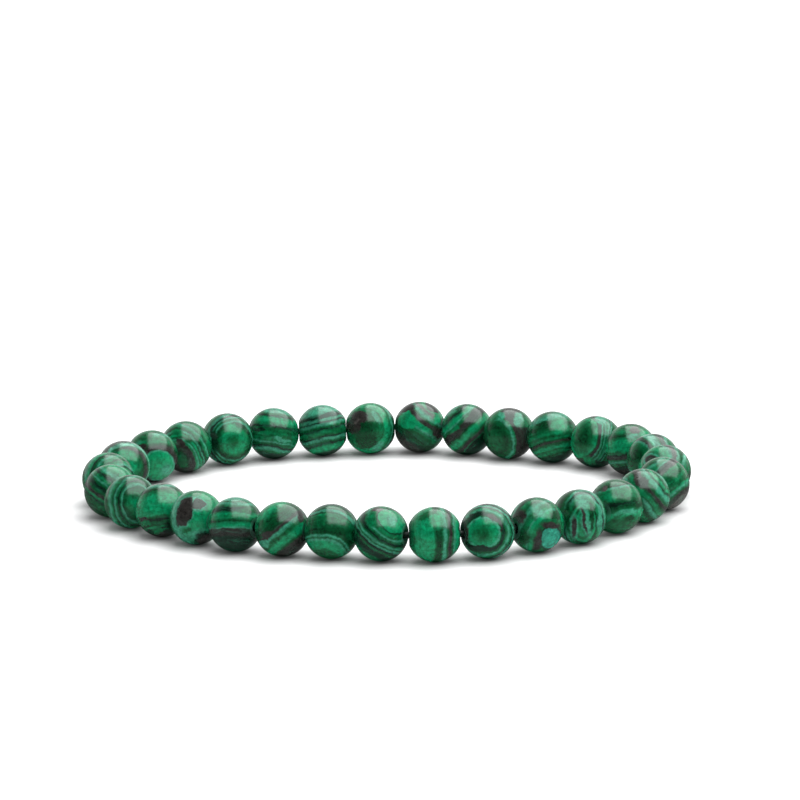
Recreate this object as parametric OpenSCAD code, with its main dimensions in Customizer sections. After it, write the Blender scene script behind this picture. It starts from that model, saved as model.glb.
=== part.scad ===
// Beaded stretch bracelet: round beads of banded stone, touching one another all
// the way round on a closed loop of elastic cord, laid flat in an uneven oval.
// Millimetres. The beads stand on z = 0, and the origin is the middle of the
// ground that the loop covers. +X runs along the oval, and -Y is the near side.

/* [Beads] */
// Number of beads on the cord
bead_count = 31; // [23:1:39]
// Diameter of a bead
bead_d = 6; // [5:0.5:12]
// Diameter of the flat face ground round each mouth of the hole
face_d = 2.4; // [1.9:0.1:3.2]
// Gap between two neighbours where their flat faces come closest
bead_gap = 0.05; // [0.02:0.01:0.2]

/* [Cord] */
// Diameter of the elastic cord
cord_d = 0.7; // [0.5:0.1:1]
// How much wider than the cord the hole is drilled
hole_play = 0.3; // [0.2:0.05:0.5]
// Width of the bevel that takes the sharp edge off each mouth of the hole
mouth_bevel = 0.15; // [0.05:0.05:0.2]

/* [Hidden] */
// How the loop lies: the direction of each bead's hole in steps of five degrees,
// from the middle of the near side to the right and once round
hole_angles = [
    -20, 0, 15, 30, 35, 55, 55, 75, 95, 105, 120, 140, 155, 150, 150, 170,
    185, 180, 195, 205, 225, 230, 245, 265, 285, 305, 315, 315, 325, 340, 345
];
// Passes that close the loop, each leaving under a fifth of the gap before it
closing_passes = 6;
// Sides of the cord, which bends at every mouth
cord_sides = 8;
// Steps round a bead and round its hole
bead_steps = 64;
hole_steps = 24;

bead_green = "#0f7a50";
cord_clear = "#dfe3dc";

last = bead_count - 1;
hole_d = cord_d + hole_play;
// Length of a bead along its hole, between its two flat faces
bead_len = sqrt(pow(bead_d, 2) - pow(face_d, 2));

function bead_name(k) = str("bead_", k < 9 ? "0" : "", k + 1);

function sum(list) = [for (each_one = list) 1] * list;
function unit(v) = v / norm(v);
function heading(angle) = [cos(angle), sin(angle)];

// Entry i of hole_angles, going on past the end for the next time round
function angle_entry(i) =
    hole_angles[i % len(hole_angles)] + 360 * floor(i / len(hole_angles));

// Direction of hole k before the loop is closed; with another number of beads it
// comes from between two entries of hole_angles
function laid(k) =
    let (place = k * len(hole_angles) / bead_count, i = floor(place))
    angle_entry(i) + (place - i) * (angle_entry(i + 1) - angle_entry(i));

// Direction of the hole after hole k, once round included
function next_dir(dirs, k) = k < last ? dirs[k + 1] : dirs[0] + 360;

// Step from the middle of bead k to the next. Two neighbours touch at the rims of
// their flat faces, so the step grows with the bend, and it lies halfway between
// the directions of their two holes.
function step(dirs, k) =
    let (bend = next_dir(dirs, k) - dirs[k])
    (bead_len * cos(bend / 2) + face_d * sin(abs(bend) / 2) + bead_gap)
    * heading(dirs[k] + bend / 2);

function steps(dirs) = [for (k = [0:last]) step(dirs, k)];

// The same directions, each turned a little so that the last step ends at the
// first bead while every step keeps its length
function closed(dirs, passes) =
    passes == 0 ? dirs :
    let (gap = sum(steps(dirs)), turn = 360 / (PI * bead_count * bead_len))
    closed([for (a = dirs) a + turn * cross(gap, heading(a))], passes - 1);

dirs = closed([for (k = [0:last]) laid(k)], closing_passes);

// Middles of the beads, first from bead 0 and then round the origin
walk = [for (k = 0, p = [0, 0]; k <= last; p = p + step(dirs, k), k = k + 1) p];
walk_x = [for (p = walk) p.x];
walk_y = [for (p = walk) p.y];
walk_middle = [min(walk_x) + max(walk_x), min(walk_y) + max(walk_y)] / 2;
middles = [for (p = walk) p - walk_middle];

// A drilled bead at the origin, with its hole along X
module bead() {
    rotate([0, 90, 0])
        difference() {
            intersection() {
                sphere(d = bead_d, $fn = bead_steps);
                cylinder(d = 2 * bead_d, h = bead_len, center = true, $fn = bead_steps);
            }
            cylinder(d = hole_d, h = 2 * bead_d, center = true, $fn = hole_steps);
            for (end = [0, 1])
                mirror([0, 0, end])
                    translate([0, 0, bead_len / 2 - mouth_bevel])
                        cylinder(
                            d1 = hole_d, d2 = hole_d + 4 * mouth_bevel,
                            h = 2 * mouth_bevel, $fn = hole_steps
                        );
        }
}

// Bead k where it lies in the loop
module placed_bead(k) {
    color(bead_green)
        translate([middles[k].x, middles[k].y, bead_d / 2])
            rotate([0, 0, dirs[k]])
                bead();
}

// The cord runs straight through each hole and bends at the mouths
mouths = [
    for (k = [0:last], end = [-1, 1])
        let (p = middles[k] + end * bead_len / 2 * heading(dirs[k])) [p.x, p.y, bead_d / 2]
];

// Ring of points round mouth i, square to the mean of the stretches that meet there
function cord_ring(i) =
    let (
        n = len(mouths),
        before = unit(mouths[i] - mouths[(i + n - 1) % n]),
        after = unit(mouths[(i + 1) % n] - mouths[i]),
        side = unit(cross(before + after, [0, 0, 1]))
    )
    [for (s = [0:cord_sides - 1])
        let (a = 360 * s / cord_sides)
        mouths[i] + cord_d / 2 * (cos(a) * side + sin(a) * [0, 0, 1])];

// A closed tube through all the mouths
module elastic_cord() {
    n = len(mouths);
    color(cord_clear)
        polyhedron(
            points = [for (i = [0:n - 1]) each cord_ring(i)],
            faces = [
                for (i = [0:n - 1], s = [0:cord_sides - 1])
                    let (
                        here = i * cord_sides, there = (i + 1) % n * cord_sides,
                        t = (s + 1) % cord_sides
                    )
                    each [
                        [here + s, there + s, there + t],
                        [here + s, there + t, here + t]
                    ]
            ]
        );
}

for (k = [0:last])
    placed_bead(k);
elastic_cord();
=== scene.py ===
import math
import random

import bpy
from mathutils import Matrix, Vector


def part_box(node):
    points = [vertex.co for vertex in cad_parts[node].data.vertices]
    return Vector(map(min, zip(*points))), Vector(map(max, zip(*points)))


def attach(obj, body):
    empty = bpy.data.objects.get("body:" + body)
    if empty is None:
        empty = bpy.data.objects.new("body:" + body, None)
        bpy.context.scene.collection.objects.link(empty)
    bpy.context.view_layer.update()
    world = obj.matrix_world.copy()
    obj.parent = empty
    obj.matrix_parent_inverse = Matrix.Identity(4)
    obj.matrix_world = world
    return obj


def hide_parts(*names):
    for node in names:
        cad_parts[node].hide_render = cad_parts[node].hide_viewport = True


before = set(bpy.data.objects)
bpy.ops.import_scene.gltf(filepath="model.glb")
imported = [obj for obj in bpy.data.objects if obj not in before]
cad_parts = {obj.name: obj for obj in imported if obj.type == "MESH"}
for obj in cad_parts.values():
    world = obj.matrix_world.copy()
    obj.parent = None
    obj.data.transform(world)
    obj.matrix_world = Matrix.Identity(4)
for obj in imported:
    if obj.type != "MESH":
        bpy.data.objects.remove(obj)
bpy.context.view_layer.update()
upright = Vector((0, 0, 1))

# Camera: it stands low in front of the loop and looks a little below its middle

view = {
    "elevation": 13.62,  # of the camera seen from the loop's middle, degrees
    "distance": 0.5884,
    "aside": 0.00021,
    "height": 0.003,  # of the point that it stands back from
    "raised": 0.87,  # how far it looks above that point, degrees
    "yaw": 0.17,  # degrees, as roll is
    "roll": -1.77,
    "lens": 234.3,
    "sensor": 36.0,
    "sight": 50.0,  # how far it sees
}

elevation = math.radians(view["elevation"])
pitch = elevation - math.radians(view["raised"])
yaw = math.radians(view["yaw"])
roll = math.radians(view["roll"])
eye = Vector((
    view["aside"],
    -view["distance"] * math.cos(elevation),
    view["height"] + view["distance"] * math.sin(elevation),
))
ahead = Vector((
    math.sin(yaw) * math.cos(pitch), math.cos(yaw) * math.cos(pitch), -math.sin(pitch)
))
level = ahead.cross(upright).normalized()
above = level.cross(ahead)
right = math.cos(roll) * level + math.sin(roll) * above
up = math.cos(roll) * above - math.sin(roll) * level

bpy.ops.object.camera_add()
camera = bpy.context.object
camera.name = "photoCamera"
camera.data.sensor_width = view["sensor"]
camera.data.lens = view["lens"]
camera.data.clip_end = view["sight"]
camera.matrix_world = Matrix.Translation(eye) @ Matrix((right, up, -ahead)).transposed().to_4x4()
bpy.context.scene.camera = camera
bpy.context.scene.view_settings.view_transform = "Standard"
print("camera set")


# Shader maths

class Wire:
    # One socket's value, with which sums can be written
    def __init__(self, recipe, socket):
        self.recipe = recipe
        self.socket = socket

    def math(self, operation, *others, clamp=False):
        node = self.recipe.add(
            "ShaderNodeMath", {"operation": operation, "use_clamp": clamp},
            dict(enumerate([self, *others])),
        )
        return node["Value"]

    def __add__(self, other):
        return self.math("ADD", other)

    __radd__ = __add__

    def __sub__(self, other):
        return self.math("SUBTRACT", other)

    def __rsub__(self, other):
        return Wire(self.recipe, other).math("SUBTRACT", self)

    def __mul__(self, other):
        return self.math("MULTIPLY", other)

    __rmul__ = __mul__


class Outputs:
    # The outputs of one node, by name or number
    def __init__(self, recipe, node):
        self.recipe = recipe
        self.node = node

    def __getitem__(self, name):
        return Wire(self.recipe, self.node.outputs[name])


class Recipe:
    # The nodes of a material or of the world, with one method that adds any node
    def __init__(self, owner):
        owner.use_nodes = True
        self.owner = owner
        self.tree = owner.node_tree
        self.tree.nodes.clear()

    def add(self, kind, settings=None, sockets=None):
        node = self.tree.nodes.new(kind)
        for name, value in (settings or {}).items():
            if name == "stops":
                self.fillRamp(node.color_ramp, value)
            else:
                setattr(node, name, value)
        for name, value in (sockets or {}).items():
            if isinstance(value, Wire):
                value = value.socket
            if isinstance(value, bpy.types.NodeSocket):
                self.tree.links.new(value, node.inputs[name])
            else:
                node.inputs[name].default_value = value
        return Outputs(self, node)

    def fillRamp(self, ramp, stops):
        while len(ramp.elements) < len(stops):
            ramp.elements.new(1.0)
        for element, (place, colour) in zip(ramp.elements, stops):
            element.position = place
            element.color = (*colour, 1.0)

    def mix(self, share, below, above, way="MIX"):
        # A Mix node's sockets share their names, so the share, the colours and the result go by number
        below, above = (tone if isinstance(tone, Wire) else (*tone, 1.0) for tone in (below, above))
        return self.add("ShaderNodeMix", {"data_type": "RGBA", "blend_type": way}, {
            0: share, 6: below, 7: above,
        })[2]

    def finish(self, sockets):
        shader = self.add("ShaderNodeBsdfPrincipled", {}, sockets)
        self.add("ShaderNodeOutputMaterial", {}, {"Surface": shader["BSDF"]})
        return self.owner


# Where the beads lie

def beadMiddle(name):
    low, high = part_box(name)
    return (low + high) / 2


def holeHeadings(middles):
    # The step between two beads points halfway between their holes. With an odd number of
    # beads the steps, taken in turn with plus and minus, give the first hole's heading.
    count = len(middles)
    steps = []
    for k in range(count):
        step = middles[(k + 1) % count] - middles[k]
        angle = math.atan2(step.y, step.x)
        while steps and angle < steps[-1] - math.pi:
            angle += 2 * math.pi
        steps.append(angle)
    headings = [sum(angle * (-1) ** k for k, angle in enumerate(steps)) - math.pi]
    for angle in steps[:-1]:
        headings.append(2 * angle - headings[-1])
    return headings


def alongHole(index):
    return Vector((math.cos(headings[index]), math.sin(headings[index]), 0))


beadNames = sorted(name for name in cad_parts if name.startswith("bead_"))
middles = [beadMiddle(name) for name in beadNames]
headings = holeHeadings(middles)


# One bead, modelled once and drilled along its own z

bead = {
    "diameter": 0.006,
    "face": 0.0023,  # flat ground round each mouth, small enough that the beads all but touch
    "hole": 0.001,
    "bevel": 0.00015,
    "sides": 80,
    "rings": 48,
    "cutSlack": 0.0000001,  # the usual 0.1 mm is coarse beside the sphere's faces
    "flatAngle": 2,  # a face this near to square to the hole is a ground one, degrees
    "edge": 0.00003,  # rounding of the flat's rim
    "edgeSteps": 3,
    "edgeAngle": 15,  # what bends more than this is rounded, degrees
    "smoothAngle": 40,
}
radius = bead["diameter"] / 2
halfLength = math.sqrt(radius ** 2 - (bead["face"] / 2) ** 2)


def deselectAll():
    bpy.ops.object.select_all(action="DESELECT")


def selectFaces(piece, test):
    # In edit mode, the faces that pass the test and no others
    bpy.ops.mesh.select_mode(type="FACE")
    bpy.ops.mesh.select_all(action="DESELECT")
    bpy.ops.object.mode_set(mode="OBJECT")
    for face in piece.data.polygons:
        face.select = test(face)
    bpy.ops.object.mode_set(mode="EDIT")


def makeBead():
    deselectAll()
    bpy.ops.mesh.primitive_uv_sphere_add(
        segments=bead["sides"], ring_count=bead["rings"], radius=radius
    )
    piece = bpy.context.object
    bpy.ops.object.mode_set(mode="EDIT")
    for end in (-1, 1):
        bpy.ops.mesh.select_all(action="SELECT")
        bpy.ops.mesh.bisect(
            plane_co=(0, 0, end * halfLength), plane_no=(0, 0, end),
            use_fill=True, clear_outer=True, threshold=bead["cutSlack"],
        )
    squareOn = math.cos(math.radians(bead["flatAngle"]))
    selectFaces(piece, lambda face: abs(face.normal.z) > squareOn)
    rim = bead["face"] / 2
    mouth = bead["hole"] / 2 + bead["bevel"]
    # The mouth is as deep as it is wide at its bevel
    bpy.ops.mesh.inset(thickness=rim - mouth, use_individual=True)
    bpy.ops.mesh.inset(thickness=bead["bevel"], depth=-bead["bevel"], use_individual=True)
    bpy.ops.mesh.bridge_edge_loops()
    bpy.ops.object.mode_set(mode="OBJECT")
    rounding = piece.modifiers.new("rims", "BEVEL")
    rounding.width = bead["edge"]
    rounding.segments = bead["edgeSteps"]
    rounding.limit_method = "ANGLE"
    rounding.angle_limit = math.radians(bead["edgeAngle"])
    bpy.ops.object.modifier_apply(modifier="rims")
    bpy.ops.object.shade_smooth_by_angle(angle=math.radians(bead["smoothAngle"]))
    return piece


pattern = makeBead()
print("bead modelled:", len(pattern.data.polygons), "faces")


# The stone: layers lie in stripes or nested round a point, charted for each bead

stone = {
    "bright": (0.002, 0.245, 0.098),
    "green": (0.001, 0.150, 0.053),
    "mid": (0.001, 0.090, 0.028),
    "dark": (0.001, 0.047, 0.014),
    "deep": (0.002, 0.022, 0.011),
    "black": (0.026, 0.024, 0.022),
    # grey is partly the stone's own and partly a painted highlight: black as the softbox's reflection
    # lightens it
    "grey": (0.070, 0.064, 0.060),
    "light": (0.036, 0.260, 0.155),
    "pale": (0.110, 0.380, 0.260),
    "teal": (0.016, 0.275, 0.182),
    "crisp": 0.07,  # width of the change at the edge of a black band, in bead radii
    "soft": 0.14,  # the same between two greens
    "crowding": 0.45,  # the most of a band that half of such a change takes up
    "patchSoftness": 0.16,  # width of the change round a patch, as a share of its size
    "hiddenBand": (0.07, 0.25),  # least and greatest width of a band past the charted ones
    "warp": 0.11,  # how far the layers wander, in bead radii
    "warpScale": 1.7,
    "grain": 0.04,  # the same, for the rough edges of the bands
    "grainScale": 7.0,
    "torn": 0.16,  # the same, for the ragged edges of the patches
    "tornScale": 3.2,
    "cloudDetail": 4.0,
    "cloudRough": 0.58,
    "fineScale": 11.0,  # fine lines within the bands, per bead radius
    "fineReach": 0.16,  # how fast they change along their length, against across
    "fineDetail": 3.0,
    "fineRough": 0.6,
    "fineLight": 1.1,
    "fineDark": 2.0,
    "mottle": 3.4,  # clouding of each colour
    "mottleScale": 7.0,
    "mottleDetail": 7.0,
    "mottleRough": 0.68,
    "gloss": 0.21,
    "glossChange": 0.08,
    "index": 1.60,  # stone bends light a little more than glass does
    "tint": (0.80, 1.0, 0.92),  # of the light that the polish sends straight back
    "rawGloss": 0.55,  # of the ground faces and the bore
    "rawLight": 0.25,  # how much paler the unpolished stone is
    "ripple": 0.000006,  # height of the unevenness that polishing leaves
    "rippleScale": 5.0,
    "rippleDetail": 6.0,
}

# How far apart two neighbours lie in each kind of noise, so that no two beads are alike
noiseSteps = {"warp": 3.7, "grain": 2.3, "torn": 5.1, "mottle": 1.9, "ripple": 4.3}
rampLimit = 32  # stops that a colour ramp can hold

# A chart is read in the bead's own picture, with 0, 0 in its middle and its rim at 1.
# Stripes run across "lie", an angle from the right, and their bands end at places from
# -1 to 1 along it; "bow" curves them. Rings nest round "at", with bands ending at radii;
# "squeeze" gives their size across, upward and outward, and "turn" turns them. "fine" is
# the strength of the fine lines. A patch is a colour, its middle, its half width and half
# height, its turn, and how soft its edge is, where that isn't the usual.
# Some patches and bands below are painted highlight or painted rim reflection, as noted at each.
charts = {
    "bead_01": {
        "at": (0.40, 0.47), "turn": -32, "squeeze": (1.30, 0.92, 3),
        "bands": [
            (0.18, "light"), (0.42, "bright"), (0.47, "deep"), (0.60, "green"), (0.67, "mid"),
            (0.74, "light"), (0.83, "mid"), (0.93, "deep"), (0.99, "mid"), (1.06, "light"),
            (1.13, "mid"), (1.19, "light"), (1.28, "deep"), (1.35, "mid"), (1.60, "deep"),
        ],
        "patches": [
            ("green", -0.36, 0.52, 0.16, 0.26, 12, 0.3), ("grey", -0.12, 0.85, 0.18, 0.08, 0, 0.4),
            ("bright", 0.70, 0.28, 0.13, 0.20, 20, 0.5),
        ],
    },
    "bead_02": {
        "lie": 2, "bow": 0.10,
        "bands": [
            (-0.82, "deep"), (-0.68, "green"), (0.00, "bright"), (0.06, "mid"), (0.26, "dark"),
            (0.32, "mid"), (0.44, "light"), (0.50, "mid"), (0.62, "black"), (0.68, "mid"),
            (0.76, "light"), (0.90, "bright"), (1.0, "deep"),
        ],
        "patches": [
            ("mid", -0.35, 0.68, 0.30, 0.12, 30, 0.7), ("bright", 0.15, 0.55, 0.18, 0.30, 0, 0.8),
        ],
    },
    "bead_03": {
        "at": (-0.16, -0.07), "squeeze": (1.10, 1.0, 3), "fine": 0.5,
        "bands": [
            (0.20, "mid"), (0.34, "green"), (0.50, "bright"), (0.57, "light"), (0.61, "mid"),
            (0.72, "deep"), (0.79, "mid"), (0.86, "light"), (0.92, "green"), (0.98, "deep"),
            (1.04, "light"), (1.10, "black"), (1.15, "light"), (1.20, "mid"),
        ],
        "patches": [
            ("black", -0.85, 0.0, 0.17, 0.50, 0, 0.4), ("deep", -0.20, -0.62, 0.50, 0.09, -8, 0.5),
            # The grey patch at 0.20, 0.48 is black with a painted highlight on it.
            ("deep", -0.40, 0.60, 0.30, 0.10, 20, 0.5), ("grey", 0.20, 0.48, 0.25, 0.08, -35, 0.6),
            ("black", 0.46, 0.15, 0.05, 0.20, 0, 0.5),
        ],
    },
    "bead_04": {
        "at": (0.52, -0.50), "squeeze": (0.92, 1.1, 3), "turn": -20, "fine": 0.7,
        "bands": [
            (0.38, "teal"), (0.44, "deep"), (0.62, "mid"), (0.76, "green"), (0.92, "bright"),
            (0.98, "light"), (1.12, "green"), (1.24, "mid"), (1.36, "light"), (1.50, "mid"),
        ],
        "patches": [
            ("black", 0.50, -0.02, 0.34, 0.10, -5, 0.5), ("black", 0.02, -0.62, 0.16, 0.42, -12, 0.5),
            ("black", -0.62, 0.28, 0.22, 0.26, 20, 0.5), ("dark", 0.68, 0.34, 0.18, 0.20, 0, 0.6),
            ("dark", -0.50, -0.45, 0.32, 0.28, 0, 0.9), ("light", 0.05, 0.42, 0.30, 0.12, -35, 0.8),
        ],
    },
    "bead_05": {
        "at": (0.15, -0.25), "squeeze": (0.78, 1.25, 3), "fine": 0.8,
        "bands": [
            (0.30, "green"), (0.38, "bright"), (0.50, "mid"), (0.58, "bright"), (0.70, "dark"),
            (0.80, "green"), (0.88, "light"), (0.96, "deep"), (1.04, "light"), (1.14, "mid"),
            (1.30, "dark"),
        ],
        "patches": [
            ("light", 0.72, 0.0, 0.07, 0.50, 0, 0.6), ("dark", -0.45, 0.05, 0.18, 0.50, -5, 0.8),
            ("light", -0.22, -0.38, 0.15, 0.48, 3, 0.5), ("black", -0.22, -0.38, 0.09, 0.40, 3, 0.5),
            ("light", 0.22, -0.16, 0.17, 0.60, 11, 0.6), ("black", 0.17, -0.14, 0.065, 0.54, 13, 0.6),
            # The light patch at 0.10, 0.50 is a painted highlight.
            ("dark", 0.45, 0.05, 0.07, 0.50, 5, 0.6), ("light", 0.10, 0.50, 0.20, 0.20, 0, 0.8),
        ],
    },
    "bead_06": {
        "lie": -76, "bow": -0.15,
        "bands": [
            (-0.80, "mid"), (-0.70, "dark"), (-0.64, "light"), (-0.30, "green"), (-0.12, "mid"),
            (0.10, "dark"), (0.20, "mid"), (0.46, "bright"), (0.60, "green"), (1.0, "mid"),
        ],
        "patches": [
            ("dark", 0.45, -0.42, 0.25, 0.10, 20, 0.7), ("grey", -0.42, 0.66, 0.15, 0.08, 50, 0.6),
            ("deep", 0.10, 0.04, 0.60, 0.06, 12, 0.7), ("mid", -0.10, -0.55, 0.30, 0.10, 20, 0.8),
            ("bright", -0.20, 0.30, 0.20, 0.15, 30, 0.8), ("light", 0.45, -0.20, 0.40, 0.08, 15, 0.9),
        ],
    },
    "bead_07": {
        "lie": -140,
        "bands": [
            (-0.92, "light"), (-0.84, "mid"), (-0.74, "bright"), (-0.66, "dark"), (-0.50, "light"),
            (-0.40, "mid"), (-0.26, "black"), (-0.18, "dark"), (0.00, "green"), (0.06, "mid"),
            (0.20, "light"), (0.42, "dark"), (0.55, "green"), (0.70, "mid"), (1.0, "deep"),
        ],
        "patches": [
            ("black", -0.05, 0.52, 0.30, 0.22, -30, 0.3), ("grey", -0.20, 0.76, 0.14, 0.14, 0, 0.4),
            ("black", -0.20, 0.77, 0.06, 0.08, 0),
        ],
    },
    "bead_08": {
        "lie": -50,
        "bands": [
            (-0.80, "mid"), (-0.70, "light"), (-0.58, "green"), (-0.52, "light"), (-0.36, "black"),
            (-0.26, "grey"), (-0.10, "green"), (0.10, "mid"), (0.26, "green"), (0.44, "mid"),
            (0.50, "bright"), (0.58, "light"), (0.66, "mid"), (0.80, "black"), (1.0, "grey"),
        ],
    },
    "bead_09": {
        "at": (-0.50, 0.42), "turn": 20, "squeeze": (1.2, 0.9, 3),
        "bands": [
            (0.22, "black"), (0.29, "light"), (0.36, "green"), (0.58, "bright"), (0.66, "light"),
            (0.82, "grey"), (0.90, "light"), (1.05, "mid"), (1.14, "pale"), (1.30, "green"),
        ],
    },
    "bead_10": {
        "at": (-0.62, 0.10), "squeeze": (1, 1.1, 3),
        "bands": [
            (0.24, "dark"), (0.42, "mid"), (0.52, "green"), (0.58, "light"), (0.70, "black"),
            (0.75, "green"), (0.96, "pale"), (1.02, "mid"), (1.20, "black"), (1.28, "light"),
        ],
    },
    "bead_11": {
        "lie": -86,
        "bands": [
            (-0.85, "mid"), (-0.62, "green"), (-0.46, "dark"), (-0.36, "green"), (0.04, "bright"),
            (0.16, "mid"), (0.22, "deep"), (0.34, "black"), (0.42, "mid"), (0.50, "light"),
            (0.62, "mid"), (0.75, "deep"), (1.0, "black"),
        ],
        "patches": [
            # The grey patch at 0.15, 0.76 is black with a painted highlight on it.
            ("grey", 0.15, 0.76, 0.20, 0.14, 0, 0.4), ("light", 0.05, 0.48, 0.25, 0.12, 10, 0.6),
            ("bright", -0.10, 0.05, 0.35, 0.14, 0, 0.8), ("bright", 0.50, 0.62, 0.20, 0.12, 20, 0.5),
        ],
    },
    "bead_12": {
        "at": (-0.48, 0.15), "turn": -18, "squeeze": (0.8, 1.35, 3), "fine": 0.4,
        "bands": [
            (0.22, "dark"), (0.40, "mid"), (0.52, "green"), (0.62, "bright"), (0.68, "dark"),
            (0.80, "black"), (0.86, "light"), (0.94, "mid"), (1.00, "light"), (1.08, "green"),
            (1.14, "light"), (1.20, "dark"), (1.26, "light"), (1.40, "mid"),
        ],
        "patches": [
            ("deep", 0.05, -0.88, 0.60, 0.20, 0, 0.5), ("light", 0.16, 0.84, 0.20, 0.20, 0, 0.5),
            ("green", -0.28, -0.72, 0.30, 0.14, -25, 0.6),
        ],
    },
    "bead_13": {
        "lie": -76, "bow": -0.10,
        "bands": [
            (-0.86, "mid"), (-0.66, "light"), (-0.54, "green"), (-0.38, "dark"), (-0.22, "mid"),
            (-0.12, "green"), (0.02, "mid"), (0.10, "green"), (0.16, "dark"), (0.24, "black"),
            (0.34, "mid"), (0.46, "bright"), (0.52, "mid"), (0.62, "green"), (0.76, "dark"),
            (1.0, "deep"),
        ],
        "patches": [
            # The bright patch at 0.25, 0.42 is bright stone, partly painted to lift the highlight over
            # it.
            ("bright", 0.25, 0.42, 0.32, 0.28, 0, 0.7), ("dark", -0.35, 0.50, 0.28, 0.10, 15, 0.7),
        ],
    },
    "bead_14": {
        "at": (-0.52, -0.28), "turn": 12, "squeeze": (1.05, 1.35, 3), "fine": 0.5,
        "bands": [
            (0.30, "mid"), (0.50, "dark"), (0.62, "mid"), (0.70, "light"), (0.76, "green"),
            (1.30, "black"), (1.40, "mid"),
        ],
        "patches": [
            ("green", 0.65, 0.45, 0.25, 0.20, 0, 0.6), ("green", -0.58, 0.68, 0.34, 0.14, 38, 0.5),
            # The light patch at 0.36, 0.55 is a painted highlight.
            ("light", 0.36, 0.55, 0.18, 0.26, 0, 0.4), ("light", -0.28, 0.72, 0.10, 0.14, 20, 0.5),
        ],
    },
    "bead_15": {
        "lie": -47,
        "bands": [
            (-0.88, "light"), (-0.78, "mid"), (-0.66, "deep"), (-0.50, "bright"), (-0.44, "light"),
            (-0.32, "mid"), (-0.06, "black"), (0.00, "dark"), (0.06, "green"), (0.26, "bright"),
            (0.34, "mid"), (0.50, "black"), (0.54, "mid"), (1.0, "deep"),
        ],
        "patches": [
            ("green", -0.45, 0.02, 0.20, 0.08, 45, 0.6), ("black", 0.25, 0.62, 0.12, 0.30, -40, 0.5),
        ],
    },
    "bead_16": {
        "lie": -128, "bow": 0.12,
        "bands": [
            # The grey and light bands between -0.72 and -0.42 are partly a painted highlight where they
            # cross it.
            (-0.72, "bright"), (-0.56, "grey"), (-0.42, "light"), (-0.34, "mid"), (-0.16, "black"),
            (0.02, "bright"), (0.10, "light"), (0.18, "green"), (0.34, "mid"), (0.62, "dark"),
            (0.70, "deep"), (1.0, "black"),
        ],
        "patches": [
            ("bright", -0.48, 0.22, 0.40, 0.26, -12, 0.25), ("black", -0.50, 0.74, 0.34, 0.15, 25, 0.3),
            ("black", 0.70, -0.25, 0.25, 0.22, -30, 0.6), ("bright", 0.66, 0.30, 0.16, 0.16, 0, 0.5),
            ("black", 0.46, 0.76, 0.34, 0.14, -38, 0.3),
        ],
    },
    "bead_17": {
        "at": (-0.25, 0.0), "squeeze": (1, 1.05, 3), "fine": 0.5,
        "bands": [
            (0.40, "dark"), (0.62, "mid"), (0.72, "green"), (0.78, "mid"), (0.98, "bright"),
            (1.04, "green"), (1.10, "mid"), (1.16, "light"), (1.24, "dark"), (1.32, "light"),
        ],
        "patches": [
            ("dark", -0.15, -0.50, 0.38, 0.35, 0, 0.3), ("black", -0.42, 0.44, 0.36, 0.26, -8, 0.25),
            ("black", -0.64, 0.16, 0.26, 0.38, -12, 0.25), ("grey", -0.52, 0.26, 0.16, 0.08, 35, 0.7),
            ("light", 0.20, 0.42, 0.08, 0.25, 25, 0.6), ("light", 0.30, -0.70, 0.26, 0.12, 40, 0.6),
        ],
    },
    "bead_18": {
        "lie": -77,
        "bands": [
            (-0.62, "light"), (-0.44, "deep"), (-0.34, "light"), (-0.25, "deep"), (-0.16, "light"),
            (-0.07, "mid"), (0.02, "deep"), (0.14, "green"), (0.23, "mid"), (0.31, "deep"),
            (0.42, "light"), (0.51, "mid"), (0.61, "deep"), (0.82, "bright"), (1.0, "deep"),
        ],
        "patches": [
            ("deep", 0.10, 0.56, 0.35, 0.07, 25, 0.6), ("mid", 0.55, 0.02, 0.30, 0.10, 10, 0.8),
        ],
    },
    "bead_19": {
        "lie": -98, "bow": -0.10,
        "bands": [
            (-0.82, "light"), (-0.74, "mid"), (-0.66, "deep"), (-0.44, "bright"), (-0.34, "green"),
            (-0.24, "deep"), (-0.06, "mid"), (0.06, "green"), (0.14, "mid"), (0.28, "green"),
            (0.34, "light"), (0.44, "mid"), (0.54, "deep"), (0.66, "light"), (0.76, "mid"),
            (1.0, "deep"),
        ],
        "patches": [
            ("deep", -0.62, 0.15, 0.26, 0.08, 0, 0.5), ("light", 0.35, -0.24, 0.35, 0.06, -20, 0.7),
        ],
    },
    "bead_20": {
        "at": (0.24, -0.10), "fine": 0.4,
        "bands": [
            (0.17, "mid"), (0.28, "green"), (0.48, "bright"), (0.56, "green"), (0.62, "mid"),
            (0.74, "dark"), (0.80, "light"), (0.90, "mid"), (0.95, "light"), (1.04, "deep"),
            (1.12, "light"), (1.20, "mid"),
        ],
        "patches": [
            # The bright patch at 0.20, 0.40 is painted light, where the top of the bead catches the
            # softbox.
            ("deep", -0.55, -0.05, 0.17, 0.50, 8, 0.7), ("bright", 0.20, 0.40, 0.28, 0.16, 0, 0.7),
            ("light", -0.70, 0.05, 0.05, 0.40, 0, 0.7),
        ],
    },
    "bead_21": {
        "at": (-0.12, -0.55), "turn": 18, "squeeze": (0.85, 1.25, 3),
        "bands": [
            (0.22, "mid"), (0.30, "dark"), (0.58, "black"), (0.66, "green"), (0.72, "light"),
            (0.78, "mid"), (0.86, "bright"), (0.92, "mid"), (0.98, "light"), (1.08, "dark"),
            (1.16, "green"), (1.22, "light"), (1.30, "mid"),
        ],
        "patches": [
            ("green", -0.35, 0.55, 0.20, 0.14, 0, 0.5), ("black", -0.14, 0.14, 0.26, 0.10, -42, 0.4),
            ("mid", 0.10, 0.30, 0.15, 0.15, 0, 0.8),
        ],
    },
    "bead_22": {
        "at": (0.28, -0.38), "fine": 0.15,
        "bands": [
            (0.56, "bright"), (0.62, "light"), (0.82, "black"), (0.92, "dark"), (1.16, "green"),
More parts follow.
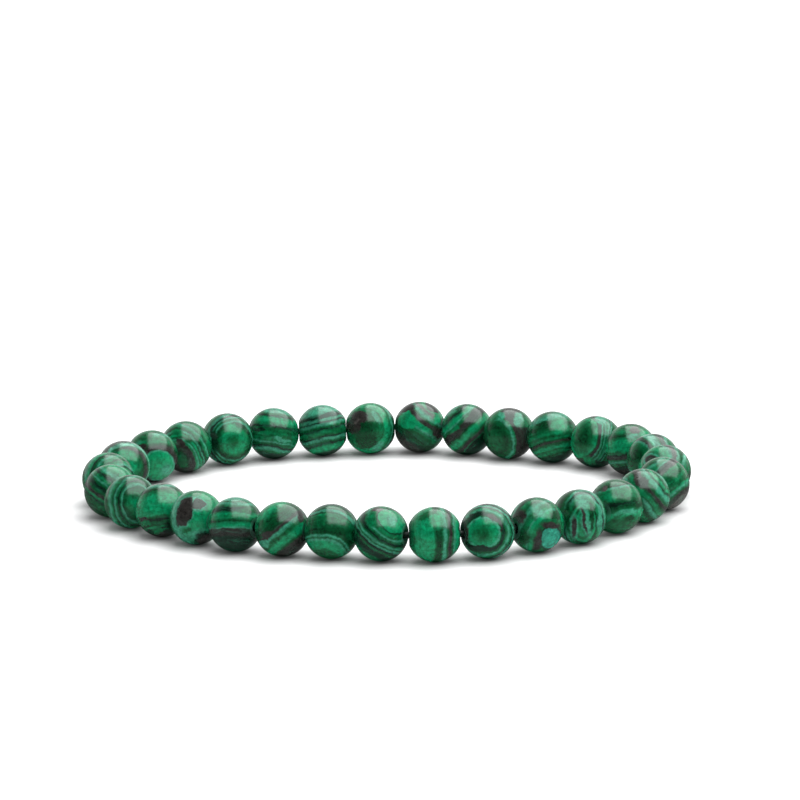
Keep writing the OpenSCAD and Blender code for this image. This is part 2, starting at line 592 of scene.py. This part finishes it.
            (1.28, "light"), (1.40, "mid"),
        ],
        "patches": [
            ("light", 0.55, -0.55, 0.25, 0.20, 30, 0.9), ("black", -0.45, 0.32, 0.24, 0.12, 25, 0.4),
            ("mid", -0.30, 0.70, 0.35, 0.12, 20, 0.8),
        ],
    },
    "bead_23": {
        "at": (0.15, -0.02), "fine": 0.3,
        "bands": [
            (0.34, "bright"), (0.50, "green"), (0.62, "mid"), (0.68, "dark"), (0.80, "black"),
            # The pale ring from 0.86 to 0.98, which meets the rim, is partly a painted rim reflection.
            (0.86, "mid"), (0.98, "pale"), (1.10, "grey"), (1.20, "mid"),
        ],
        "patches": [
            # The bright patch is bright stone, partly painted to lift the highlight over it.
            ("bright", 0.0, 0.36, 0.42, 0.30, 0, 0.7),
        ],
    },
    "bead_24": {
        "at": (0.50, 0.02), "squeeze": (1.1, 0.95, 3),
        "bands": [
            (0.30, "mid"), (0.44, "green"), (0.50, "deep"), (0.60, "light"), (0.70, "green"),
            (0.76, "dark"), (0.90, "green"), (0.97, "light"), (1.06, "mid"), (1.12, "deep"),
            (1.22, "bright"), (1.28, "light"), (1.40, "mid"),
        ],
    },
    "bead_25": {
        "lie": -122, "bow": 0.10,
        "bands": [
            (-0.70, "bright"), (-0.56, "green"), (-0.46, "light"), (-0.40, "mid"), (-0.26, "deep"),
            (-0.12, "green"), (-0.06, "light"), (0.04, "mid"), (0.20, "deep"), (0.30, "mid"),
            (0.44, "black"), (0.54, "green"), (0.62, "deep"), (0.80, "mid"), (1.0, "dark"),
        ],
    },
    "bead_26": {
        "at": (0.20, -0.05), "squeeze": (0.78, 1, 3), "fine": 0.8,
        "bands": [
            (0.22, "bright"), (0.44, "green"), (0.56, "mid"), (0.66, "dark"), (0.74, "light"),
            (0.80, "mid"), (0.88, "deep"), (0.98, "mid"), (1.06, "light"), (1.14, "dark"),
            (1.22, "green"), (1.32, "light"), (1.50, "mid"),
        ],
    },
    "bead_27": {
        "lie": -84, "bow": -0.12,
        "bands": [
            (-0.94, "grey"), (-0.86, "light"), (-0.72, "dark"), (-0.60, "green"), (0.18, "bright"),
            (0.26, "mid"), (0.36, "deep"), (0.46, "mid"), (0.56, "dark"), (0.64, "green"),
            (0.80, "deep"), (1.0, "black"),
        ],
        "patches": [
            ("black", -0.72, -0.32, 0.18, 0.08, -10, 0.5), ("deep", 0.45, -0.60, 0.35, 0.30, 20, 0.8),
            ("green", -0.66, -0.48, 0.20, 0.07, -8, 0.9), ("green", -0.06, -0.74, 0.28, 0.07, 6, 0.9),
        ],
    },
    "bead_28": {
        "at": (0.35, 0.10), "fine": 0.5,
        "bands": [
            (0.80, "bright"), (1.10, "green"), (1.32, "light"), (1.45, "mid"),
        ],
        "patches": [
            ("light", -0.46, 0.22, 0.34, 0.66, -16), ("light", 0.06, 0.48, 0.29, 0.28, 0),
            ("black", -0.46, 0.22, 0.28, 0.59, -16), ("black", 0.06, 0.49, 0.24, 0.20, 0),
            ("mid", -0.40, -0.48, 0.16, 0.06, 30, 0.8), ("light", 0.0, -0.60, 0.40, 0.16, 15, 0.9),
            ("deep", 0.25, -0.78, 0.38, 0.24, 25, 0.4), ("black", 0.27, -0.80, 0.28, 0.17, 25),
        ],
    },
    "bead_29": {
        "lie": -92, "bow": -0.08,
        "bands": [
            (-0.86, "light"), (-0.80, "mid"), (-0.72, "light"), (-0.65, "mid"), (-0.45, "deep"),
            (-0.32, "bright"), (-0.20, "green"), (-0.06, "dark"), (0.08, "bright"), (0.13, "light"),
            (0.44, "black"), (1.0, "deep"),
        ],
        "patches": [
            ("mid", 0.45, 0.50, 0.30, 0.10, 0, 0.6), ("green", -0.35, 0.30, 0.30, 0.07, 0, 0.6),
            ("black", 0.80, -0.35, 0.22, 0.30, 0, 0.5),
        ],
    },
    "bead_30": {
        "lie": -52,
        "bands": [
            (-0.95, "dark"), (-0.66, "bright"), (-0.52, "mid"), (-0.18, "dark"), (-0.06, "black"),
            (0.07, "light"), (0.24, "mid"), (0.30, "green"), (0.52, "bright"), (0.60, "mid"),
            (1.0, "black"),
        ],
        "patches": [
            ("black", -0.52, -0.20, 0.20, 0.12, 30, 0.4), ("light", -0.66, -0.55, 0.16, 0.12, 0, 0.4),
            ("black", 0.70, 0.46, 0.12, 0.20, 10, 0.4), ("mid", -0.75, 0.15, 0.20, 0.20, 0, 0.8),
        ],
    },
    "bead_31": {
        "lie": -105, "bow": -0.45,
        "bands": [
            (-0.92, "deep"), (-0.86, "mid"), (-0.80, "dark"), (-0.70, "light"), (-0.64, "dark"),
            (-0.52, "green"), (-0.14, "mid"), (0.06, "dark"), (0.12, "mid"), (0.20, "light"),
            (0.28, "mid"), (0.36, "light"), (0.66, "bright"), (1.0, "mid"),
        ],
        "patches": [
            ("dark", 0.10, 0.02, 0.70, 0.12, 0, 0.9), ("light", 0.78, 0.38, 0.05, 0.22, 35, 0.5),
        ],
    },
}


def nextBands(seed, last):
    # Rings of the hidden side, past the charted ones
    draw = random.Random(seed)
    bands = []
    for colour in ("green", "dark", "light", "mid", "deep", "bright"):
        last += draw.uniform(*stone["hiddenBand"])
        bands.append((last, colour))
    return bands


def bandStops(bands, start, reach):
    # Two stops for each change of colour, a little apart
    stops = [(0.0, stone[bands[0][1]])]
    before = start
    for (edge, colour), (nextEdge, after) in zip(bands, bands[1:]):
        width = stone["crisp" if "black" in (colour, after) else "soft"]
        half = min(width / 2, stone["crowding"] * min(edge - before, nextEdge - edge))
        for place, tone in ((edge - half, colour), (edge + half, after)):
            stops.append((min(max((place - start) / reach, 0.0), 1.0), stone[tone]))
        before = edge
    return stops


def faceFrame(middle):
    # Right, up and out of the picture, as the camera sees the bead
    out = (eye - middle).normalized()
    side = up.cross(out).normalized()
    return Matrix((side, out.cross(side), out)).transposed()


def outTo(u, v):
    # The point of the bead's front that shows at u, v in its picture
    return (u, v, math.sqrt(max(0.0, 1 - u * u - v * v)))


def placed(recipe, point, middle, rotation, size=(1, 1, 1)):
    # The point, read in a frame that is moved, turned and sized like this
    return recipe.add("ShaderNodeMapping", {"vector_type": "TEXTURE"}, {
        "Vector": point, "Location": middle, "Rotation": rotation, "Scale": size,
    })["Vector"]


def onFace(recipe, point, at, turn, size):
    # The same within the bead's picture, turned in its plane by degrees
    return placed(recipe, point, at, (0, 0, math.radians(turn)), size)


def objectPoint(recipe):
    return recipe.add("ShaderNodeTexCoord")["Object"]


def parts(recipe, vector):
    return recipe.add("ShaderNodeSeparateXYZ", {}, {"Vector": vector})


def length(recipe, vector):
    return recipe.add("ShaderNodeVectorMath", {"operation": "LENGTH"}, {0: vector})["Value"]


def layerDepth(recipe, point, chart):
    # How deep in the layers a point lies, on the scale of the chart's bands
    if "lie" in chart:
        laid = parts(recipe, onFace(recipe, point, (0, 0, 0), chart["lie"], (1, 1, 1)))
        return laid["X"] + laid["Y"] * laid["Y"] * chart.get("bow", 0.0)
    size = chart.get("squeeze", (1, 1, 3))
    return length(recipe, onFace(recipe, point, outTo(*chart["at"]), chart.get("turn", 0), size))


def cloud(recipe, point, seed, scale, detail=stone["cloudDetail"], rough=stone["cloudRough"]):
    # Noise of its own for each bead
    return recipe.add("ShaderNodeTexNoise", {"noise_dimensions": "4D"}, {
        "Vector": point, "W": seed, "Scale": scale, "Detail": detail, "Roughness": rough,
    })


def wandered(recipe, point, index, kind):
    # The point, moved each way by up to the reach of this kind of wandering
    reach = stone[kind]
    noise = cloud(recipe, point, index * noiseSteps[kind], stone[kind + "Scale"])["Color"]
    shift = recipe.add("ShaderNodeVectorMath", {"operation": "MULTIPLY_ADD"}, {
        0: noise, 1: (2 * reach,) * 3, 2: (-reach,) * 3,
    })["Vector"]
    return recipe.add("ShaderNodeVectorMath", {"operation": "ADD"}, {0: point, 1: shift})["Vector"]


def layerColour(recipe, depth, chart, index):
    bands = list(chart["bands"])
    start = -1.0
    if "at" in chart:
        start = 0.0
        bands += nextBands(index, bands[-1][0])
    bands = bands[:rampLimit // 2]
    reach = bands[-1][0] - start
    return recipe.add("ShaderNodeValToRGB", {"stops": bandStops(bands, start, reach)}, {
        "Fac": (depth - start) * (1 / reach),
    })["Color"]


def fineLines(recipe, point, depth, colour, index, strength):
    # Thin lines in the layers, which fade in and out along their length
    slow = recipe.add("ShaderNodeVectorMath", {"operation": "SCALE"}, {
        0: point, "Scale": stone["fineReach"],
    })["Vector"]
    fine = cloud(
        recipe, slow, depth + index, stone["fineScale"], stone["fineDetail"], stone["fineRough"]
    )["Fac"] - 0.5
    lighter = (fine * (strength * stone["fineLight"])).math("MAXIMUM", 0.0)
    darker = (fine * (-strength * stone["fineDark"])).math("MAXIMUM", 0.0)
    colour = recipe.mix(lighter, colour, stone["light"])
    return recipe.mix(darker, colour, stone["deep"])


def addPatches(recipe, point, colour, chart):
    for tone, u, v, wide, high, turn, *edge in chart.get("patches", ()):
        out = 1 - length(recipe, onFace(recipe, point, outTo(u, v), turn, (wide, high, 1.0)))
        softness = edge[0] if edge else stone["patchSoftness"]
        inside = (out * (1 / softness)).math("ADD", 0.5, clamp=True)
        colour = recipe.mix(inside, colour, stone[tone])
    return colour


def rawMask(recipe, index):
    # 1 in the bore and on the ground faces, 0 on the polished ball
    turn = (0, 0, headings[index])
    drilled = parts(recipe, placed(recipe, objectPoint(recipe), middles[index], turn))
    across = recipe.add("ShaderNodeCombineXYZ", {}, {"X": drilled["Y"], "Y": drilled["Z"]})["Vector"]
    inward = bead["face"] / 2 - length(recipe, across)
    return (inward * (1 / bead["edge"])).math("ADD", 0.0, clamp=True)


def stoneMaterial(index, chart):
    recipe = Recipe(bpy.data.materials.new(f"stone_{index + 1:02d}"))
    facing = faceFrame(middles[index]).to_euler()
    face = placed(recipe, objectPoint(recipe), middles[index], facing, (radius, radius, radius))
    bent = wandered(recipe, wandered(recipe, face, index, "warp"), index, "grain")
    depth = layerDepth(recipe, bent, chart)
    colour = layerColour(recipe, depth, chart, index)
    colour = fineLines(recipe, face, depth, colour, index, chart.get("fine", 1.0))
    colour = addPatches(recipe, wandered(recipe, bent, index, "torn"), colour, chart)
    clouds = cloud(
        recipe, bent, index * noiseSteps["mottle"], stone["mottleScale"],
        stone["mottleDetail"], stone["mottleRough"],
    )["Fac"]
    colour = recipe.mix(1.0, colour, (clouds - 0.5) * stone["mottle"] + 1, way="MULTIPLY")
    raw = rawMask(recipe, index)
    colour = recipe.mix(raw * stone["rawLight"], colour, stone["pale"])
    polish = cloud(
        recipe, face, index * noiseSteps["ripple"], stone["rippleScale"], stone["rippleDetail"]
    )["Fac"]
    gloss = polish * stone["glossChange"] + (stone["gloss"] - stone["glossChange"] / 2)
    uneven = recipe.add("ShaderNodeBump", {}, {
        "Height": polish, "Strength": 1.0, "Distance": stone["ripple"],
    })["Normal"]
    return recipe.finish({
        "Base Color": colour, "Roughness": raw * (stone["rawGloss"] - stone["gloss"]) + gloss,
        "IOR": stone["index"], "Specular Tint": (*stone["tint"], 1), "Normal": uneven,
    })


def stringBead(index, name):
    # A copy of the bead with its own mesh, turned along its hole and moved to its place
    mesh = pattern.data.copy()
    along = alongHole(index)
    spin = Matrix((upright.cross(along), upright, along)).transposed()
    mesh.transform(Matrix.Translation(middles[index]) @ spin.to_4x4())
    mesh.materials.append(stoneMaterial(index, charts[name]))
    piece = bpy.data.objects.new(name.replace("bead", "stoneBead"), mesh)
    bpy.context.scene.collection.objects.link(piece)
    return piece


for index, name in enumerate(beadNames):
    piece = stringBead(index, name)
    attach(piece, "root")
    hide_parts(name)
bpy.data.objects.remove(pattern)
print("beads strung:", len(beadNames))


# Elastic cord, straight through each bead and bent at the mouths

cord = {
    "diameter": 0.0007,
    "sides": 16,
    "colour": (0.003, 0.021, 0.012),  # painted shade and reflection: the dark green that the clear cord takes on between the green beads, set as its own colour
    "gloss": 0.5,
    "clear": 0.4,  # share of the light that goes through
    "shine": 0.2,
}


def makeCord():
    curve = bpy.data.curves.new("elasticCord", "CURVE")
    curve.dimensions = "3D"
    curve.bevel_depth = cord["diameter"] / 2
    curve.bevel_resolution = cord["sides"] // 4 - 1
    points = []
    for index, middle in enumerate(middles):
        reach = halfLength * alongHole(index)
        points += [middle - reach, middle + reach]
    line = curve.splines.new("POLY")
    line.points.add(len(points) - 1)
    for point, place in zip(line.points, points):
        point.co = (*place, 1)
    line.use_cyclic_u = True
    piece = bpy.data.objects.new("elasticCord", curve)
    bpy.context.scene.collection.objects.link(piece)
    deselectAll()
    piece.select_set(True)
    bpy.context.view_layer.objects.active = piece
    bpy.ops.object.convert(target="MESH")
    return bpy.context.object


def cordMaterial():
    return Recipe(bpy.data.materials.new("elastic")).finish({
        "Base Color": (*cord["colour"], 1), "Roughness": cord["gloss"],
        "Transmission Weight": cord["clear"], "Specular IOR Level": cord["shine"],
    })


elastic = makeCord()
elastic.data.materials.append(cordMaterial())
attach(elastic, "root")
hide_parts("elastic_cord")
print("cord threaded")


# Floor: it looks one way to the camera, with painted shadow under the beads and a painted glow away
# from them, and another way in the stone's polish, a painted reflection whose paleness is set by place

paper = {
    "size": 12.0,
    "colour": (0.80, 0.80, 0.807),
    "roughness": 0.9,
    "contact": 0.50,  # painted shadow: how light the floor is painted right under a bead
    "contactReach": 0.0028,
    "contactSamples": 12,
    "fill": 0.30,  # painted glow: light of its own in the picture, away from the beads
    "bounceFill": 0.26,  # the same painted glow, as it falls on the beads
    "bounce": 0.86,  # share of the studio's light that it throws up on them
    "closeShine": 0.47,  # painted reflection: how pale it is in the polish, right under a bead
    "closeReach": (0.0005, 0.0050),  # how far down that holds, and where it has faded
    "shine": 0.16,  # painted reflection: how pale it is in the polish further off
    "frontShine": 0.038,  # the same painted reflection on the camera's side, where the paper ends
    "frontEdge": (-0.050, -0.032),  # y where it ends, and where it is whole
}


def mapped(recipe, value, start, end):
    # Start and end are pairs: a value that goes in, and what comes out for it
    return recipe.add("ShaderNodeMapRange", {}, {
        "Value": value, "From Min": start[0], "To Min": start[1],
        "From Max": end[0], "To Max": end[1],
    })["Result"]


def paperMaterial():
    recipe = Recipe(bpy.data.materials.new("floorPaper"))
    path = recipe.add("ShaderNodeLightPath")
    # Painted shadow: ambient occlusion darkens the floor's colour where the beads are near
    under = recipe.add("ShaderNodeAmbientOcclusion", {"samples": paper["contactSamples"]}, {
        "Distance": paper["contactReach"],
    })["AO"]
    paintedShadow = under * (1 - paper["contact"]) + paper["contact"]
    seen = recipe.mix(1.0, paper["colour"], paintedShadow, way="MULTIPLY")
    seen = recipe.mix(path["Is Diffuse Ray"], seen, (paper["bounce"],) * 3)
    # Painted reflection: in the stone's polish the floor is as pale as its place and its nearness set
    fromFront = parts(recipe, objectPoint(recipe))["Y"]
    (ends, whole), (holds, faded) = paper["frontEdge"], paper["closeReach"]
    along = mapped(recipe, fromFront, (ends, paper["frontShine"]), (whole, paper["shine"]))
    close = mapped(recipe, path["Ray Length"], (holds, paper["closeShine"]), (faded, 0.0))
    seen = recipe.mix(path["Is Glossy Ray"], seen, along.math("MAXIMUM", close))
    # Painted glow: the floor gives off light of its own, fading where the beads are near
    fill = recipe.mix(path["Is Camera Ray"], (paper["bounceFill"],) * 3, (paper["fill"],) * 3)
    fill = recipe.mix(1.0, fill, under, way="MULTIPLY")
    fill = recipe.mix(path["Is Glossy Ray"], fill, (0.0, 0.0, 0.0))
    return recipe.finish({
        "Base Color": seen, "Roughness": paper["roughness"], "Specular IOR Level": 0.0,
        "Emission Color": fill, "Emission Strength": 1.0,
    })


deselectAll()
bpy.ops.mesh.primitive_plane_add(size=paper["size"])
floor = bpy.context.object
floor.name = "paleFloor"
floor.data.materials.append(paperMaterial())


# Light: one wide softbox overhead, behind the loop and to its right

box = {
    "middle": (0.82, 0.80, 1.39),
    "faces": (0.06, 0.264, -0.963),
    "across": (0.998, 0.017, 0.067),  # along its short side, before it is squared up
    "size": (2.21, 3.38),
    "watts": 76.0,
}

bpy.ops.object.light_add(type="AREA")
softbox = bpy.context.object
behind = -Vector(box["faces"]).normalized()
sideways = Vector(box["across"])
sideways = (sideways - sideways.dot(behind) * behind).normalized()
turned = Matrix((sideways, behind.cross(sideways), behind)).transposed()
softbox.matrix_world = Matrix.Translation(box["middle"]) @ turned.to_4x4()
softbox.name = "softbox"
softbox.data.shape = "RECTANGLE"
softbox.data.size, softbox.data.size_y = box["size"]
softbox.data.energy = box["watts"]


# Room: it is brightest at the horizon behind, where the floor's curve would rise

room = {
    "horizonGlow": 1.05,
    "highGlow": 0.07,  # overhead
    "glowReach": 0.85,  # sine of the height where the horizon's glow has faded
    "nearGlow": 0.042,  # share of the glow that is left on the camera's side
    "nearEdge": (-0.1, 0.7),  # how far back one looks where it starts, and where it is whole
}

world = bpy.data.worlds.new("room")
recipe = Recipe(world)
toward = parts(recipe, recipe.add("ShaderNodeTexCoord")["Generated"])
glow = mapped(recipe, toward["Z"], (0.0, room["horizonGlow"]), (room["glowReach"], room["highGlow"]))
rises, whole = room["nearEdge"]
near = mapped(recipe, toward["Y"], (rises, room["nearGlow"]), (whole, 1.0))
backdrop = recipe.add("ShaderNodeBackground", {}, {"Color": (1, 1, 1, 1), "Strength": glow * near})
recipe.add("ShaderNodeOutputWorld", {}, {"Surface": backdrop["Background"]})
bpy.context.scene.world = world
print("studio lit")
